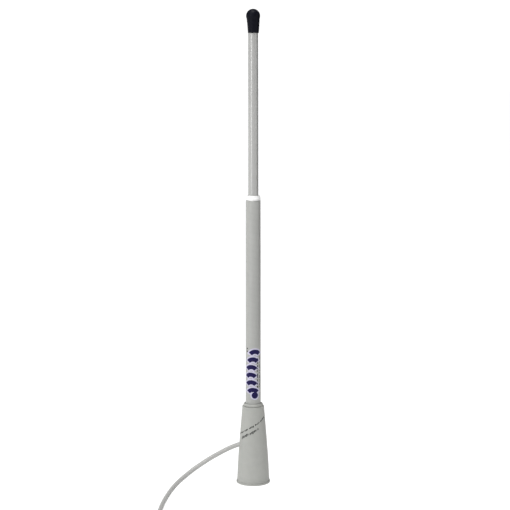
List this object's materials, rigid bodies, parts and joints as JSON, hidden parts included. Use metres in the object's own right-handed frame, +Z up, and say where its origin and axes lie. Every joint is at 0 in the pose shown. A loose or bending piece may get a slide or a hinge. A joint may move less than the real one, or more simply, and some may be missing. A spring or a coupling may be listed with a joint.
{
  "type": "omnidirectional antenna",
  "caption": "Whip antenna with a tapered two-tube mast and rubber tip cap on a conical screw-on base, its coaxial lead coiled, tied and ended in a coupling-nut plug.",
  "frame": {"origin": "centre of the base's flat underside, on the mast's axis", "axes": "+Z up along the mast; the lead leaves the base on its -X side; -Y towards the front, where the spare lead lies coiled"},
  "size_m": [0.1201, 0.2868, 0.527],
  "materials": {
    "base_plastic": "fine-grained moulded polyamide, light warm grey",
    "tube_gelcoat": "semi-gloss gelcoat over glass fibre, off-white",
    "white_nylon": "bright white moulded nylon",
    "black_rubber": "soft black rubber, satin",
    "nickel_plate": "nickel-plated brass, satin",
    "brass": "turned brass",
    "copper": "bare copper wire",
    "tinned_copper": "tinned copper braid",
    "cable_jacket": "light grey PVC jacket, satin",
    "ptfe": "milky white fluoropolymer",
    "ferrite": "sintered ferrite, dull dark grey",
    "board_laminate": "green solder mask on glass laminate",
    "capacitor_coating": "dipped blue ceramic disc",
    "foam": "closed-cell foam, off-white",
    "epoxy": "dark potting resin",
    "tie_nylon": "black nylon",
    "heat_shrink": "black heat-shrink sleeve"
  },
  "bodies": {
    "antenna": {"base_ferrule": "base_plastic", "cable_coil": "cable_jacket", "cable_grommet": "cable_jacket", "cable_lead": "cable_jacket", "cable_tail": "cable_jacket", "cable_tie_1": "tie_nylon", "cable_tie_2": "tie_nylon", "coax_braid": "tinned_copper", "coax_core": "copper", "coax_dielectric": "ptfe", "coax_jacket": "cable_jacket", "coil_former": "ptfe", "crimp_ring": "brass", "ferrite_bead_1": "ferrite", "ferrite_bead_2": "ferrite", "ferrite_bead_3": "ferrite", "foam_spacer_1": "foam", "foam_spacer_2": "foam", "foam_spacer_3": "foam", "foam_spacer_4": "foam", "foam_spacer_5": "foam", "loading_coil": "copper", "lower_tube": "tube_gelcoat", "matching_board": "board_laminate", "matching_capacitor": "capacitor_coating", "plug_body": "nickel_plate", "plug_boot": "heat_shrink", "plug_insulator": "ptfe", "plug_pin": "brass", "plug_reducer": "nickel_plate", "potting_plug": "epoxy", "radiator_rod": "brass", "reducer_bush": "white_nylon", "rod_coupler": "brass", "thread_insert": "nickel_plate", "upper_tube": "tube_gelcoat"},
    "coupling_nut": {"plug_nut": "nickel_plate"},
    "cap": {"tip_cap": "black_rubber"}
  },
  "joints": [
    {"name": "nut_spin", "type": "hinge", "parent": "antenna", "child": "coupling_nut", "pos_m": [-0.02077, -0.249, 0.03473], "axis": [0.9903, 0, 0.1392], "continuous": true},
    {"name": "cap_pull", "type": "slide", "parent": "antenna", "child": "cap", "axis": [0, 0, 1], "range_m": [0, 0.026]}
  ]
}
